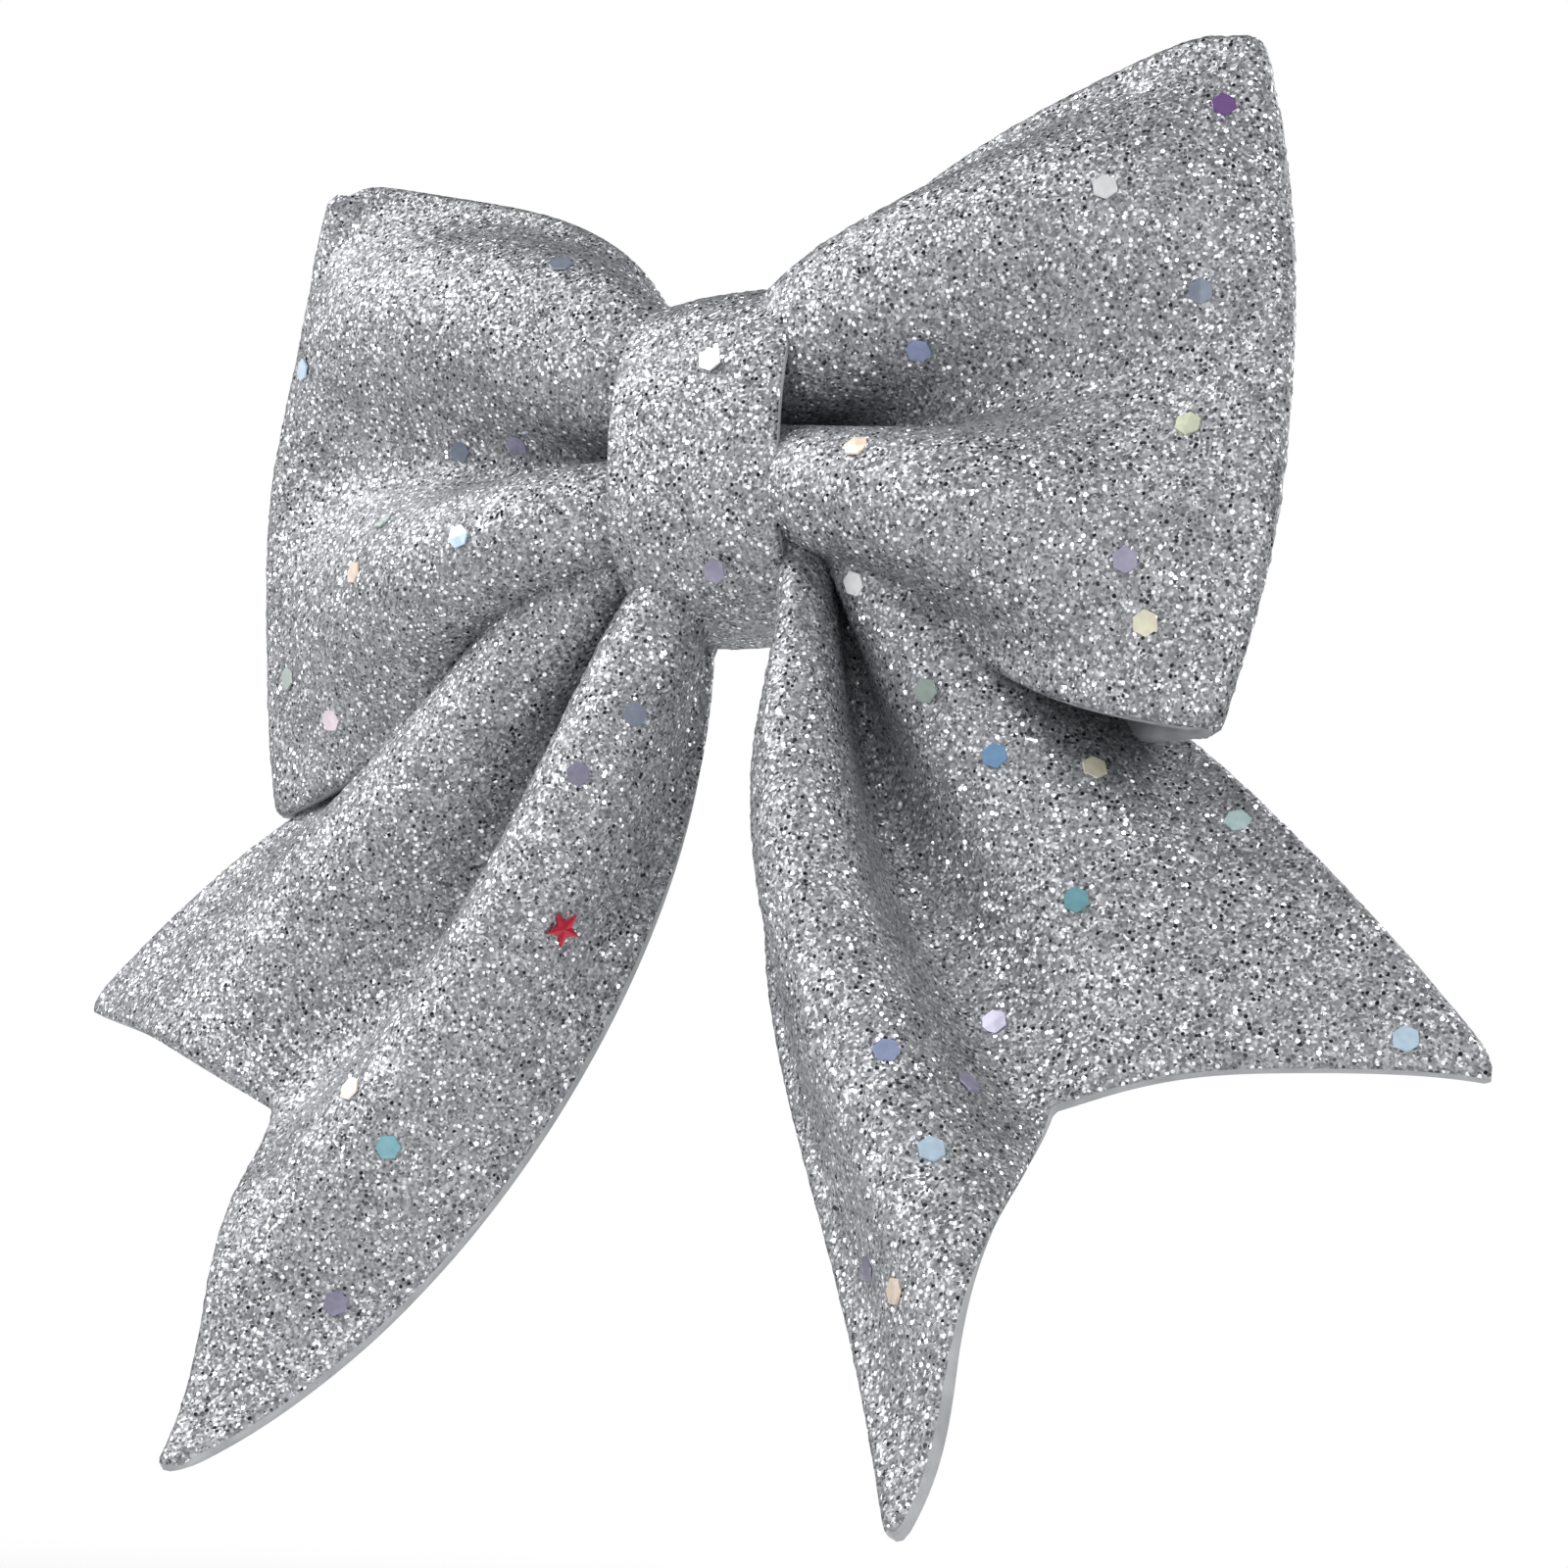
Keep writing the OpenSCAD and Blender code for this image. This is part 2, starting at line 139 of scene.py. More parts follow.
def legs(s):
    """the curves of one side: loop front, streamer, loop back (mm from the knot, degrees)"""
    right_side = s > 0
    fan, lean = (0 if right_side else -5), 5 * s
    lift = 1.5 if right_side else -1
    front = dict(path=[[8, 3, s], [16, -3.5, -3], [31, -2, 5], [LOOP_REACH, -2, lift]],
                 fan=[0, -10, 10, fan], lean=[0, 0, 5, lean],
                 above=[100, 40, 60, 0] if right_side else [90, 20, 70, 0],
                 below=[110, 90, 40, 0], short=[30, 20, 0, 0])
    behind = dict(path=[[8, 4.5, s + 0.5], [20, 12, 0 if right_side else -7], [31, 10, 5],
                        [LOOP_REACH, 2 * FOLD_R - 2, lift]],
                  fan=[0, 0, 5, fan], lean=[0, -10, -5, lean],
                  above=[0, 5, 15, 0], below=[0, 5, 10, 0], short=[-100, -10, -10, 0])
    if right_side:
        tail = dict(path=[[9, 4, -9], [13, 0, -32], [20, 0, -43], [49, -12.5, -70]],
                    fan=[10, 75, 10, 45], lean=[10, 40, 10, 30],
                    above=[115, 70, 30, -15], below=[115, 70, 90, 25], notch=0.8)
    else:
        tail = dict(path=[[4, 5, -8], [13, 0, -27], [20, 0, -43], [50, -12.5, -67]],
                    fan=[50, 80, 35, 40], lean=[0, 20, 0, 25],
                    above=[115, 85, 40, 5], below=[120, 80, 80, 0], notch=0.85)
    tail.update(short=[20, 10, 0, 0], curl=[55, 10, 0, 0])
    for leg in (front, tail, behind):
        leg.setdefault("curl", [0, 0, 0, 0])
        leg["side"] = s
    return front, tail, behind

def shift(s, a, v):
    """moves a row out to its bowed fold"""
    d = (FOLD_BOW * (1 - v * v) - FOLD_R) * a * a
    return np.stack([s * d, 0 * d, 0 * d], -1)

def thick(a):
    return T_KNOT + (T_FREE - T_KNOT) * ease(a / 0.25)

def squeeze(r, k):
    """a row drawn together in the knot"""
    return np.stack([r[..., 0], r[..., 1] * (k - 0.1) + 0.3, r[..., 2] * k - (1 - k) * 1.5], -1)

def fill(a, b, n):
    """n rows between row a and row b"""
    return [a * (1 - x) + b * x for x in (np.arange(n) + 1) / (n + 1)]

def loop_rows(na, nv):
    """rows and thicknesses of the loop strip, a closed ring"""
    v = np.linspace(-1, 1, nv)
    near_end = np.full_like(v, 0.98)
    side = {}
    for s in (1, -1):
        f, _, b = legs(s)
        a, vv = np.meshgrid(np.linspace(0, 1, na), v, indexing="ij")
        F = leg_pt(f, a, vv) + shift(s, a, vv)
        B = (leg_pt(b, a, vv) + shift(s, a, vv))[::-1]
        # the fold leaves the front layer and meets the back layer without a crease
        go = 2 / 3 * np.linalg.norm(F[-1] - B[0], axis=-1, keepdims=True)
        level = [1, 1, 0]
        f2 = F[-1] + go * unit((F[-1] - leg_pt(f, near_end, v) - shift(s, near_end, v)) * level)
        b2 = B[0] + go * unit((B[0] - leg_pt(b, near_end, v) - shift(s, near_end, v)) * level)
        t = np.linspace(0, 1, FOLD_ROWS + 2)[1:-1, None, None]
        r = 1 - t
        A = r ** 3 * F[-1] + 3 * r ** 2 * t * f2 + 3 * r * t * t * b2 + t ** 3 * B[0]
        th = np.concatenate([thick(a[:, 0]), np.full(FOLD_ROWS, T_FREE), thick(a[::-1, 0])])
        side[s] = (np.concatenate([F, A, B]), th)
    (R, th_r), (L, th_l) = side[1], side[-1]
    fm = squeeze((R[0] + L[0]) / 2, KNOT_SQUEEZE)
    bm = squeeze((R[-1] + L[-1]) / 2, KNOT_SQUEEZE)
    k = CROSS_ROWS
    rows = np.concatenate([[fm], fill(fm, R[0], k), R, fill(R[-1], bm, k),
                           [bm], fill(bm, L[-1], k), L[::-1], fill(L[0], fm, k)])
    th = np.concatenate([[T_KNOT] * (k + 1), th_r, [T_KNOT] * (2 * k + 1), th_l[::-1],
                         [T_KNOT] * k])
    return rows, th

def tail_rows(na, nv):
    """rows and thicknesses of the streamer strip, from tip to tip"""
    v = np.linspace(-1, 1, nv)
    side = {}
    for s in (1, -1):
        a, vv = np.meshgrid(np.linspace(0, 1, na), v, indexing="ij")
        w = np.abs(vv)
        leg = legs(s)[1]
        # a V notch, with the two tips clipped a little
        cut = leg["notch"] + (1 - leg["notch"]) * w - 0.02 * np.clip((w - 0.95) / 0.05, 0, 1) ** 2
        side[s] = (leg_pt(leg, a * cut, vv), thick(a[:, 0]))
    (R, th_r), (L, th_l) = side[1], side[-1]
    mid = squeeze((R[0] + L[0]) / 2, KNOT_SQUEEZE)
    k = CROSS_ROWS
    rows = np.concatenate([L[::-1], fill(L[0], mid, k), [mid], fill(mid, R[0], k), R])
    th = np.concatenate([th_l[::-1], [T_KNOT] * (2 * k + 1), th_r])
    return rows, th

def power(x, e):
    return np.sign(x) * np.abs(x) ** e

def band_rows(nh, nu):
    """rows and thicknesses of the band, wrapped once with its ends lapped behind"""
    h, u = np.meshgrid(np.linspace(4, 360 + LAP, nh), np.linspace(-1, 1, nu), indexing="ij")
    up_ = (BAND_T + 0.25) * ease((h - 300) / 60)
    inn = 0.6 * np.abs(u) ** 3 + 0.1 * u * u
    c, s = np.cos(rad(h)), np.sin(rad(h))
    half = BAND_W / 2 - 1.1 * np.abs(s) ** 4 * (h < 330)
    rows = np.stack([u * half, (BAND_RY - BAND_T / 2 + up_ - inn) * power(c, BOXY),
                     (BAND_RZ - BAND_T / 2 + up_ - inn) * power(s, BOXY)], -1) + BAND_C
    return rows, np.full(nh, BAND_T)

# ------------------------------------------------------------------ mesh helpers
HASH_PRIMES, HASH_MIX, HASH_STEPS = (73856093, 19349663, 83492791), 1274126177, 20011

def noise(P, size, seed, octaves=2):
    """smooth value noise in about -1..1 at points P, mm"""
    out, amp, tot = 0, 1.0, 0
    for o in range(octaves):
        q = P / size * 2 ** o + seed * 7.31
        i = np.floor(q).astype(np.int64)
        f = q - i
        f = f * f * (3 - 2 * f)
        acc = 0
        for corner in itertools.product((0, 1), repeat=3):
            n, w = 0, 1
            for axis, step in enumerate(corner):
                n = n ^ ((i[..., axis] + step) * HASH_PRIMES[axis])
                w = w * (f[..., axis] if step else 1 - f[..., axis])
            n = (n ^ (n >> 13)) * HASH_MIX & 0x7FFFFFFF
            acc = acc + ((n % HASH_STEPS) / (HASH_STEPS // 2) - 1) * w
        out = out + amp * acc
        tot += amp
        amp *= 0.5
    return out / tot

def obj_from(name, V, F, mats, mat_index=None, smooth=True):
    me = bpy.data.meshes.new(name)
    me.from_pydata((np.asarray(V) * MM).tolist(), [], F if isinstance(F, list) else F.tolist())
    for mt in mats:
        me.materials.append(mt)
    if mat_index is not None:
        me.polygons.foreach_set("material_index", np.asarray(mat_index, np.int32))
    me.polygons.foreach_set("use_smooth", [smooth] * len(me.polygons))
    me.update()
    o = bpy.data.objects.new(name, me)
    bpy.context.collection.objects.link(o)
    return o

PINCH = 1.1  # how far from a cut edge the foam is pressed thinner, mm

def pinch(x):
    """the cutter presses the foam thinner along a cut edge; x runs from 0 to 1 at the edge"""
    return 0.42 + 0.58 * np.sqrt(1 - 0.98 * np.clip(x, 0, 1) ** 2)

def sheet_mesh(name, rows, th, ring, coat, foam, grain=0.07):
    """a sheet of foam along rows, coated in front; ring joins the last row to the first"""
    n, m = rows.shape[:2]
    du = np.roll(rows, -1, 0) - np.roll(rows, 1, 0) if ring else np.gradient(rows, axis=0)
    dv = np.gradient(rows, axis=1)
    N = unit(np.cross(du, dv))
    v = np.abs(np.linspace(-1, 1, m))
    rim = PINCH / (W / 2)
    edge = pinch((v - 1 + rim) / rim)
    if not ring:
        r = np.minimum(np.arange(n), np.arange(n)[::-1])
        edge = edge[None] * pinch(1 - r / 3.0)[:, None]
    else:
        edge = np.broadcast_to(edge, (n, m))
    half = th[:, None] / 2 * edge
    wave = 0.12 * noise(rows, 12.0, 3) * ease((np.abs(rows[..., 0]) - 8) / 10)
    bumps = grain * (noise(rows, 0.45, 11, 1) + 0.9 * rng.uniform(-1, 1, (n, m)))
    top = rows + N * (half + wave + bumps)[..., None]
    bot = rows - N * (half - wave)[..., None]
    V = np.concatenate([top.reshape(-1, 3), bot.reshape(-1, 3)]) + KNOT
    q = n if ring else n - 1
    i, j = np.meshgrid(np.arange(q), np.arange(m - 1), indexing="ij")
    i2 = (i + 1) % n
    a, b, c, d = i * m + j, i * m + j + 1, i2 * m + j + 1, i2 * m + j
    o = n * m
    ft = np.stack([a, d, c, b], -1).reshape(-1, 4)
    fb = np.stack([a, b, c, d], -1).reshape(-1, 4) + o
    k = np.arange(q)
    k2 = (k + 1) % n
    e1 = np.stack([k * m, o + k * m, o + k2 * m, k2 * m], -1)
    e2 = np.stack([k * m + m - 1, k2 * m + m - 1, o + k2 * m + m - 1, o + k * m + m - 1], -1)
    parts = [ft, fb, e1, e2]
    mi = [0] * len(ft) + [1] * (len(fb) + len(e1) + len(e2))
    if not ring:
        jj = np.arange(m - 1)
        z = (n - 1) * m
        parts += [np.stack([jj, jj + 1, o + jj + 1, o + jj], -1),
                  np.stack([z + jj, o + z + jj, o + z + jj + 1, z + jj + 1], -1)]
        mi += [1] * (2 * (m - 1))
    return obj_from(name, V, np.concatenate(parts), [coat, foam], mi)

# ------------------------------------------------------------------ materials
def nodes_of(mt):
    """an empty node tree with one principled shader on its output"""
    mt.use_nodes = True
    nt = mt.node_tree
    nt.nodes.clear()
    out = nt.nodes.new("ShaderNodeOutputMaterial")
    b = nt.nodes.new("ShaderNodeBsdfPrincipled")
    nt.links.new(b.outputs[0], out.inputs[0])
    return nt, b

def new(nt, kind, **kw):
    n = nt.nodes.new(kind)
    for k, v in kw.items():
        setattr(n, k, v)
    return n

def texture(nt, kind, scale, detail=None):
    """a texture that follows the object"""
    n = new(nt, kind)
    n.inputs["Scale"].default_value = scale
    if detail is not None:
        n.inputs["Detail"].default_value = detail
    nt.links.new(new(nt, "ShaderNodeTexCoord").outputs["Object"], n.inputs["Vector"])
    return n

def ramped(nt, source, stops, target):
    """source through a colour ramp into target"""
    r = ramp(nt, stops)
    nt.links.new(source, r.inputs[0])
    nt.links.new(r.outputs[0], target)

def bumped(nt, height, strength, distance, b):
    bp = new(nt, "ShaderNodeBump")
    bp.inputs["Strength"].default_value = strength
    bp.inputs["Distance"].default_value = distance
    nt.links.new(height, bp.inputs["Height"])
    nt.links.new(bp.outputs[0], b.inputs["Normal"])

def ramp(nt, stops):
    r = nt.nodes.new("ShaderNodeValToRGB")
    e = r.color_ramp.elements
    while len(e) < len(stops):
        e.new(0.5)
    for k, (p, c) in enumerate(stops):
        e[k].position = p
        e[k].color = (*c, 1)
    return r

COARSE, SMALL = 2450, 4600  # grains of glitter per metre

def glitter(name):
    """coarse grains on a bed of fine ones, each with a tilt of its own that gives real glints, and a painted
    brightness from near black to white that stands for the reflections of silver grains
    """
    mt = bpy.data.materials.new(name)
    nt, b = nodes_of(mt)
    L = nt.links.new
    tc = new(nt, "ShaderNodeTexCoord")

    def cells(scale):
        v = new(nt, "ShaderNodeTexVoronoi", feature="F1", distance="EUCLIDEAN")
        v.inputs["Scale"].default_value = scale
        L(tc.outputs["Object"], v.inputs["Vector"])
        return v

    def math_(op, a, c):
        n = new(nt, "ShaderNodeMath", operation=op)
        for k, x in ((0, a), (1, c)):
            if isinstance(x, (int, float)):
                n.inputs[k].default_value = x
            else:
                L(x, n.inputs[k])
        return n.outputs[0]

    def mixed(kind, f, a, c):
        n = new(nt, "ShaderNodeMix", data_type=kind)
        k = 6 if kind == "RGBA" else 2
        L(f, n.inputs[0])
        L(a, n.inputs[k])
        L(c, n.inputs[k + 1])
        return n.outputs[2 if kind == "RGBA" else 0]

    big, fine = cells(COARSE), cells(SMALL)
    sep = new(nt, "ShaderNodeSeparateColor")
    L(big.outputs["Color"], sep.inputs[0])
    # round coarse grains lie on a bed of fine ones
    grain = math_("MULTIPLY", math_("GREATER_THAN", sep.outputs[0], 0.40),
                  math_("LESS_THAN", big.outputs["Distance"], 0.43))
    cell = mixed("RGBA", grain, fine.outputs["Color"], big.outputs["Color"])
    # each grain has its own tilt
    off = new(nt, "ShaderNodeVectorMath", operation="SUBTRACT")
    off.inputs[1].default_value = (0.5, 0.5, 0.5)
    L(cell, off.inputs[0])
    sc = new(nt, "ShaderNodeVectorMath", operation="SCALE")
    sc.inputs["Scale"].default_value = 0.9
    L(off.outputs[0], sc.inputs[0])
    geo = new(nt, "ShaderNodeNewGeometry")
    add = new(nt, "ShaderNodeVectorMath", operation="ADD")
    L(geo.outputs["Normal"], add.inputs[0])
    L(sc.outputs[0], add.inputs[1])
    nrm = new(nt, "ShaderNodeVectorMath", operation="NORMALIZE")
    L(add.outputs[0], nrm.inputs[0])
    L(nrm.outputs[0], b.inputs["Normal"])
    wn = new(nt, "ShaderNodeTexWhiteNoise", noise_dimensions="3D")
    L(cell, wn.inputs["Vector"])
    # painted reflection: every grain of the one silver coat gets a random shade from near black to white,
    # standing in for how dark or bright it mirrors the room; the tilts above add the real glints
    bed = ramp(nt, [(0.0, (0.15, 0.155, 0.165)), (0.25, (0.27, 0.275, 0.29)),
                    (0.75, (0.40, 0.41, 0.43)), (1.0, (0.58, 0.59, 0.62))])
    top = ramp(nt, [(0.0, (0.05, 0.052, 0.058)), (0.26, (0.12, 0.125, 0.135)),
                    (0.36, (0.38, 0.39, 0.41)), (0.54, (0.54, 0.55, 0.58)),
                    (0.62, (0.94, 0.94, 0.97)), (1.0, (0.98, 0.98, 1.0))])
    L(wn.outputs["Value"], bed.inputs[0])
    L(wn.outputs["Value"], top.inputs[0])
    col = mixed("RGBA", grain, bed.outputs[0], top.outputs[0])
    # patches where the coat is a little thinner
    cloud = new(nt, "ShaderNodeTexNoise")
    cloud.inputs["Scale"].default_value = 240
    cloud.inputs["Detail"].default_value = 4
    L(tc.outputs["Object"], cloud.inputs["Vector"])
    cr = ramp(nt, [(0.35, (0.88, 0.88, 0.88)), (0.65, (1.06, 1.06, 1.06))])
    L(cloud.outputs[0], cr.inputs[0])
    mul = new(nt, "ShaderNodeMix", data_type="RGBA", blend_type="MULTIPLY")
    mul.inputs[0].default_value = 1
    L(col, mul.inputs[6])
    L(cr.outputs[0], mul.inputs[7])
    L(mul.outputs[2], b.inputs["Base Color"])
    L(math_("ADD", math_("MULTIPLY", grain, 0.38), 0.52), b.inputs["Metallic"])
    L(math_("SUBTRACT", 0.40, math_("MULTIPLY", grain, 0.16)), b.inputs["Roughness"])
    return mt

def foam_mat():
    mt = bpy.data.materials.new("foam_grey")
    nt, b = nodes_of(mt)
    pores = texture(nt, "ShaderNodeTexVoronoi", 5200)
    cloud = texture(nt, "ShaderNodeTexNoise", 420, 5)
    ramped(nt, cloud.outputs[0], [(0.3, (0.33, 0.34, 0.355)), (0.7, (0.45, 0.46, 0.475))],
           b.inputs["Base Color"])
    bumped(nt, pores.outputs["Distance"], 0.35, 0.00008, b)
    b.inputs["Roughness"].default_value = 0.78
    return mt

def metal_mat(name, col, rough):
    mt = bpy.data.materials.new(name)
    nt, b = nodes_of(mt)
    cloud = texture(nt, "ShaderNodeTexNoise", 900, 6).outputs[0]
    ramped(nt, cloud, [(0.3, tuple(0.82 * c for c in col)), (0.65, col)], b.inputs["Base Color"])
    ramped(nt, cloud, [(0.3, (rough * 0.75,) * 3), (0.75, (rough * 1.5,) * 3)],
           b.inputs["Roughness"])
    bumped(nt, cloud, 0.12, 0.00003, b)
    b.inputs["Metallic"].default_value = 1
    return mt

def glue_mat():
    mt = bpy.data.materials.new("hot_glue")
    nt, b = nodes_of(mt)
    cloud = texture(nt, "ShaderNodeTexNoise", 600).outputs[0]
    ramped(nt, cloud, [(0.35, (0.74, 0.70, 0.60)), (0.7, (0.88, 0.86, 0.79))],
           b.inputs["Base Color"])
    b.inputs["Roughness"].default_value = 0.32
    b.inputs["Coat Weight"].default_value = 0.3
    return mt

def foil_mat(name, col, metallic=0.35):
    mt = bpy.data.materials.new(name)
    nt, b = nodes_of(mt)
    cloud = texture(nt, "ShaderNodeTexNoise", 1500).outputs[0]
    shades = [(p, tuple(min(1, k * c) for c in col)) for p, k in ((0.3, 0.88), (0.7, 1.06))]
    ramped(nt, cloud, shades, b.inputs["Base Color"])
    b.inputs["Metallic"].default_value = metallic
    b.inputs["Roughness"].default_value = 0.22
    b.inputs["Coat Weight"].default_value = 0.5
    return mt

GLIT = glitter("silver_glitter")
FOAM = foam_mat()
NICKEL = metal_mat("nickel_plate", (0.80, 0.79, 0.77), 0.2)
WIRE = metal_mat("drawn_wire", (0.62, 0.62, 0.63), 0.3)
GLUE = glue_mat()

# ------------------------------------------------------------------ ribbons
density = 1.0
rows, th = loop_rows(int(96 * density), int(118 * density))
loops = sheet_mesh("loops", rows, th, True, GLIT, FOAM)
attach(loops, "bow")
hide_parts("loop_ribbon")

rows, th = tail_rows(int(190 * density), int(118 * density))
tails = sheet_mesh("streamers", rows, th, False, GLIT, FOAM)
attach(tails, "bow")
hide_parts("streamer_ribbon")

rows, th = band_rows(int(200 * density), int(36 * density))
band = sheet_mesh("band", rows, th, False, GLIT, FOAM, grain=0.06)
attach(band, "bow")
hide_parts("knot_band")

# ------------------------------------------------------------------ confetti
FLAKE_R = 1.08                 # middle to corner of a hexagonal flake, mm
STAR_OUT, STAR_IN = 1.6, 0.72  # middle to a point of the star, and to a notch, mm
TINTS = {"white": (0.96, 0.97, 0.98), "blue": (0.24, 0.42, 0.66), "ice": (0.60, 0.76, 0.90),
         "lilac": (0.33, 0.31, 0.42), "purple": (0.22, 0.12, 0.32), "peach": (0.88, 0.74, 0.60),
         "green": (0.42, 0.50, 0.46), "lime": (0.70, 0.74, 0.56), "slate": (0.28, 0.32, 0.40),
         "cream": (0.98, 0.92, 0.72), "teal": (0.20, 0.42, 0.48), "aqua": (0.62, 0.80, 0.80),
         "pink": (0.86, 0.76, 0.82), "peri": (0.36, 0.42, 0.64)}
# side, leg (0 loop front, 1 streamer), share along, share across, tint
FLAKES = [(1, 0, 0.95, 0.75, "purple"), (1, 0, 0.75, 0.50, "white"), (1, 0, 0.40, 0.25, "peri"),
          (1, 0, 0.90, -0.20, "lime"), (1, 0, 0.85, -0.60, "lilac"), (1, 0, 0.90, -0.75, "cream"),
          (1, 0, 0.90, 0.20, "slate"), (1, 0, 0.35, -0.40, "peach"), (-1, 0, 0.40, 0.10, "lilac"),
          (-1, 0, 0.55, 0.05, "slate"), (-1, 0, 0.35, -0.05, "lilac"), (-1, 0, 0.30, 0.70, "slate"),
          (-1, 0, 0.65, -0.30, "green"), (-1, 0, 0.40, -0.50, "ice"), (-1, 0, 0.70, -0.45, "peach"),
          (-1, 0, 0.85, -0.80, "pink"), (-1, 0, 0.95, 0.40, "ice"), (-1, 0, 0.95, -0.60, "green"),
          (1, 1, 0.15, 0.40, "white"), (1, 1, 0.35, 0.40, "green"), (1, 1, 0.50, 0.45, "blue"),
          (1, 1, 0.60, 0.65, "cream"), (1, 1, 0.75, 0.90, "aqua"), (1, 1, 0.70, 0.40, "teal"),
          (1, 1, 0.95, 0.85, "ice"), (1, 1, 0.70, 0.00, "lilac"), (1, 1, 0.70, -0.45, "peri"),
          (1, 1, 0.75, -0.25, "lilac"), (1, 1, 0.80, -0.45, "ice"), (1, 1, 0.80, -0.80, "lilac"),
          (1, 1, 0.85, -0.70, "peach"), (-1, 1, 0.25, -0.60, "slate"), (-1, 1, 0.35, -0.55, "lilac"),
          (-1, 1, 0.75, -0.45, "peach"), (-1, 1, 0.75, -0.65, "teal"), (-1, 1, 0.85, -0.85, "lilac"),
          (-1, 1, 0.40, -0.20, "lilac")]

def on_ribbon(s, leg, a, v):
    """point on the coat, and the tangent and normal there"""
    def P(a_, v_):
        a_, v_ = np.array([a_]), np.array([v_])
        p = leg_pt(legs(s)[leg], a_, v_)
        return (p + (shift(s, a_, v_) if leg == 0 else 0))[0]
    e = 0.004
    du, dv = P(a + e, v) - P(a - e, v), P(a, v + e) - P(a, v - e)
    n = unit(np.cross(du, dv)) * s
    x = unit(du)
    return P(a, v) + n * (float(thick(np.array(a))) / 2), x, np.cross(n, x), n

def polygon(radii, sides, start):
    """corners round the middle, with the radii taken in turn"""
    angles = [start + k * 2 * math.pi / sides for k in range(sides)]
    return [(radii[k % len(radii)] * math.cos(a), radii[k % len(radii)] * math.sin(a))
            for k, a in enumerate(angles)]

def prism(pts2, c, x, y, z, lo, hi, crown):
    """a flat flake: outline pts2 in the plane x, y through c, from lo to hi along z"""
    k = len(pts2)
    V = [c + x * p[0] + y * p[1] + z * lo for p in pts2]
    V += [c + x * p[0] * 0.96 + y * p[1] * 0.96 + z * (hi - crown) for p in pts2]
    V.append(c + z * hi)
    F = [[i, (i + 1) % k, k + (i + 1) % k, k + i] for i in range(k)]
    F += [[k + i, k + (i + 1) % k, 2 * k] for i in range(k)] + [list(range(k))[::-1]]
    return V, F

names = sorted(TINTS)
mats = [foil_mat("foil_" + k, TINTS[k]) for k in names]
V, F, M = [], [], []
places = [(on_ribbon(s, leg, a, v), tint) for s, leg, a, v, tint in FLAKES]
for dx, dz, tint in ((2.0, 6.0, "white"), (3.0, -11.5, "lilac")):
    low = dz < -10  # where the band's front turns under
    c = BAND_C + [dx, 0, dz]
    c[1] = BAND_C[1] - BAND_RY + 0.05 + 0.6 * abs(dx / 7.7) ** 3 + (0.9 if low else 0)
    n = unit(np.array([0.05, -1, -0.25 if low else 0.1]))
    x = unit(np.cross([0, 0, 1.0], n))
    places.append(((c, x, np.cross(n, x), n), tint))
for (c, x, y, n), tint in places:
    turned, tip = rng.uniform(0, 1.05), rng.uniform(-0.07, 0.07, 2)
    n2 = unit(n + x * tip[0] + y * tip[1])
    x2 = unit(x - n2 * (x @ n2))
    vv, ff = prism(polygon([FLAKE_R], 6, turned), c, x2, np.cross(n2, x2), n2, 0.02, 0.20, 0.02)
    F += [[q + len(V) for q in f] for f in ff]
    V += vv
    M += [names.index(tint)] * len(ff)
flakes = obj_from("confetti", np.array(V) + KNOT, F, mats, M, smooth=False)
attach(flakes, "bow")
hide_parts("hex_flakes")

c, x, y, n = on_ribbon(-1, 1, 0.50, -0.70)
pts = polygon([STAR_OUT, STAR_IN], 10, math.radians(20))
vv, ff = prism(pts, c, x, y, n, 0.03, 0.30, 0.10)
RED = foil_mat("foil_red", (0.55, 0.02, 0.05), 0.6)
star = obj_from("star", np.array(vv) + KNOT, ff, [RED], smooth=False)
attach(star, "bow")
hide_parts("star_flake")

# ------------------------------------------------------------------ clip, wire and glue
def tube(name, pts, r, mat, sides=12):
    """a round wire along pts, closed at both ends"""
    t = unit(np.gradient(pts, axis=0))
    u = unit(np.cross(t[0], [0.3, 0.2, 1.0]))
    turns = [k * 2 * math.pi / sides for k in range(sides)]
    V, n = [], len(pts)
    for i in range(n):
        u = unit(u - t[i] * (u @ t[i]))
        w = np.cross(t[i], u)
        V += [pts[i] + r * (math.cos(q) * u + math.sin(q) * w) for q in turns]
    F = [[i * sides + k, i * sides + (k + 1) % sides,
          (i + 1) * sides + (k + 1) % sides, (i + 1) * sides + k]
         for i in range(n - 1) for k in range(sides)]
    F += [list(range(sides))[::-1], [(n - 1) * sides + k for k in range(sides)]]
    return obj_from(name, V, F, [mat])

# the clip's pivot, the spring's coil radius, half length and turns, and its wire's radius, mm
PIVOT = np.array([29.0, 3.1, 0.0])
COIL_R, COIL_HALF, COIL_TURNS, WIRE_R = 1.35, 1.24, 4.5, 0.28
q = np.radians(np.arange(0, 360 * COIL_TURNS + 1, 12))
coil = PIVOT + np.stack([COIL_R * np.sin(q), -COIL_R * np.cos(q),
                         COIL_HALF * (2 * q / q[-1] - 1)], -1)
lever_arm = coil[0] + np.outer(np.linspace(8, 0.4, 10), [-0.985, -0.06, 0])
base_arm = coil[-1] + np.outer(np.linspace(0.4, 7.5, 10), [-0.998, 0.02, 0])
spring = tube("torsion_spring", np.concatenate([lever_arm, coil, base_arm]), WIRE_R, WIRE)
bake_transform(spring)
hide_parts("clip_spring")

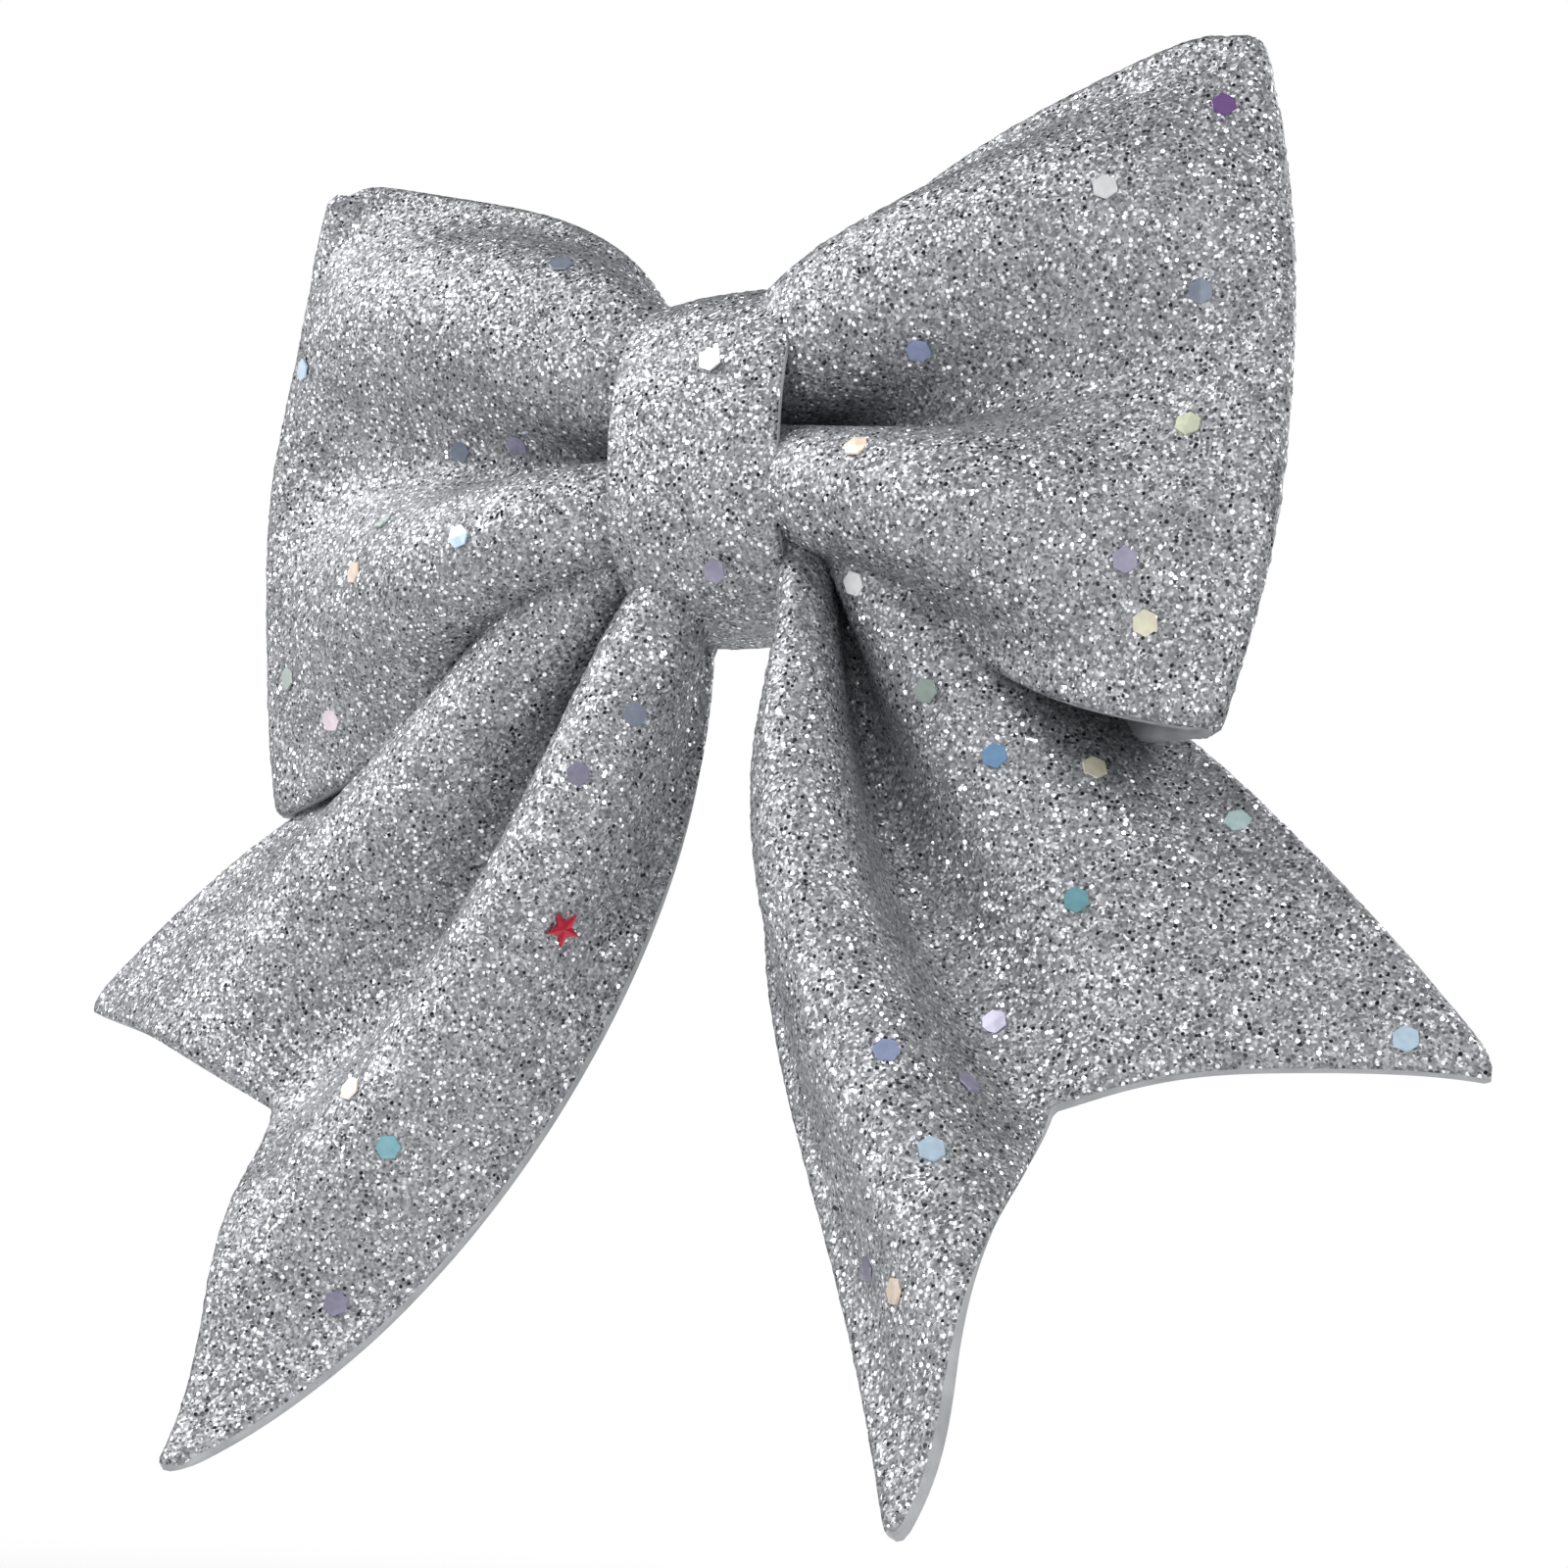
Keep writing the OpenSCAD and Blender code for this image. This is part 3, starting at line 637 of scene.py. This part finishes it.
for nm, mt in (("clip_base", NICKEL), ("clip_lever", NICKEL), ("clip_pin", NICKEL),
               ("binding_wire", WIRE), ("band_glue", GLUE)):
    o = CAD[nm]
    o.data.materials.clear()
    o.data.materials.append(mt)
    if nm.startswith("clip"):
        bv = o.modifiers.new("edge", "BEVEL")
        bv.width, bv.segments, bv.limit_method, bv.angle_limit = 0.00007, 2, "ANGLE", 0.7

# hot glue squeezed out round the clip's arm
PAD_X, PAD_Y, PAD_Z = 6.1, 0.17, 3.9  # half its size each way, mm
lo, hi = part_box("clip_glue")
c = np.array([(lo[k] + hi[k]) / 2 for k in range(3)]) / MM
bm = bmesh.new()
bmesh.ops.create_icosphere(bm, subdivisions=4, radius=1)
for v in bm.verts:
    d = np.array(v.co)
    k = 1 + 0.12 * float(noise(d[None], 0.5, 5)[0])
    p = np.array([PAD_X * power(d[0], 0.8) * k, PAD_Y * power(d[1], 0.6),
                  PAD_Z * power(d[2], 0.8) * k])
    v.co = Vector((c + p) * MM)
me = bpy.data.meshes.new("glue_pad")
bm.to_mesh(me)
bm.free()
me.polygons.foreach_set("use_smooth", [True] * len(me.polygons))
me.materials.append(GLUE)
pad = bpy.data.objects.new("glue_pad", me)
bpy.context.collection.objects.link(pad)
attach(pad, "bow")
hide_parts("clip_glue")

# ------------------------------------------------------------------ floor, light
STAGE_X, STAGE_Y = 0.02, -0.015  # the middle of the floor and the lights, metres

def pale_floor(z):
    """a round floor that fades into the white behind it"""
    fl = bpy.data.meshes.new("floor")
    bm = bmesh.new()
    bmesh.ops.create_circle(bm, cap_ends=True, segments=96, radius=1.2)
    bm.to_mesh(fl)
    bm.free()
    ob = bpy.data.objects.new("floor", fl)
    ob.location = (STAGE_X, STAGE_Y, z)
    bpy.context.collection.objects.link(ob)
    mt = bpy.data.materials.new("pale_floor")
    mt.use_nodes = True
    nt = mt.node_tree
    nt.nodes.clear()
    L = nt.links.new
    pale = new(nt, "ShaderNodeBsdfDiffuse")
    pale.inputs[0].default_value = (0.93, 0.93, 0.93, 1)
    away = new(nt, "ShaderNodeVectorMath", operation="LENGTH")
    fade = new(nt, "ShaderNodeMapRange", interpolation_type="SMOOTHSTEP")
    fade.inputs[1].default_value, fade.inputs[2].default_value = 0.25, 0.85
    mix = new(nt, "ShaderNodeMixShader")
    L(new(nt, "ShaderNodeTexCoord").outputs["Object"], away.inputs[0])
    L(away.outputs["Value"], fade.inputs[0])
    L(fade.outputs[0], mix.inputs[0])
    L(pale.outputs[0], mix.inputs[1])
    L(new(nt, "ShaderNodeBsdfTransparent").outputs[0], mix.inputs[2])
    L(mix.outputs[0], new(nt, "ShaderNodeOutputMaterial").inputs[0])
    fl.materials.append(mt)
    return ob

floor = pale_floor(cad_lo[2] - 0.075)
floor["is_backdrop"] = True

def area(name, az, el, dist, size, watts):
    """a round soft light, az and el degrees round from the front and up"""
    a, e = math.radians(az), math.radians(el)
    d = Vector((math.sin(a) * math.cos(e), -math.cos(a) * math.cos(e), math.sin(e)))
    light = bpy.data.lights.new(name, "AREA")
    light.shape, light.size, light.energy = "DISK", size, watts
    o = bpy.data.objects.new(name, light)
    o.location = Vector((STAGE_X, STAGE_Y, -0.02)) + d * dist
    o.rotation_mode = "QUATERNION"
    o.rotation_quaternion = d.to_track_quat("Z", "Y")
    bpy.context.collection.objects.link(o)

area("key", -50, 40, 0.9, 0.9, 9.6)
area("side", 70, 25, 1.0, 0.7, 6.0)
area("front", 30, -8, 1.0, 0.8, 1.6)
area("left", -80, 10, 1.0, 0.7, 1.0)
area("back", 165, 30, 0.9, 0.8, 3.0)

def studio():
    """white to the camera, a faint cool light to everything else"""
    world = bpy.data.worlds.new("studio")
    bpy.context.scene.world = world
    world.use_nodes = True
    nt = world.node_tree
    nt.nodes.clear()
    L = nt.links.new
    seen = new(nt, "ShaderNodeLightPath").outputs["Is Camera Ray"]
    mix = new(nt, "ShaderNodeMixShader")
    L(seen, mix.inputs[0])
    for k, colour, strength in ((1, (0.92, 0.96, 1.0, 1), 0.10), (2, (1, 1, 1, 1), 1.0)):
        bg = new(nt, "ShaderNodeBackground")
        bg.inputs[0].default_value, bg.inputs[1].default_value = colour, strength
        L(bg.outputs[0], mix.inputs[k])
    L(mix.outputs[0], new(nt, "ShaderNodeOutputWorld").inputs[0])

studio()
bpy.context.scene.view_settings.view_transform = "Standard"

bpy.context.view_layer.update()
lo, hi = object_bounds()
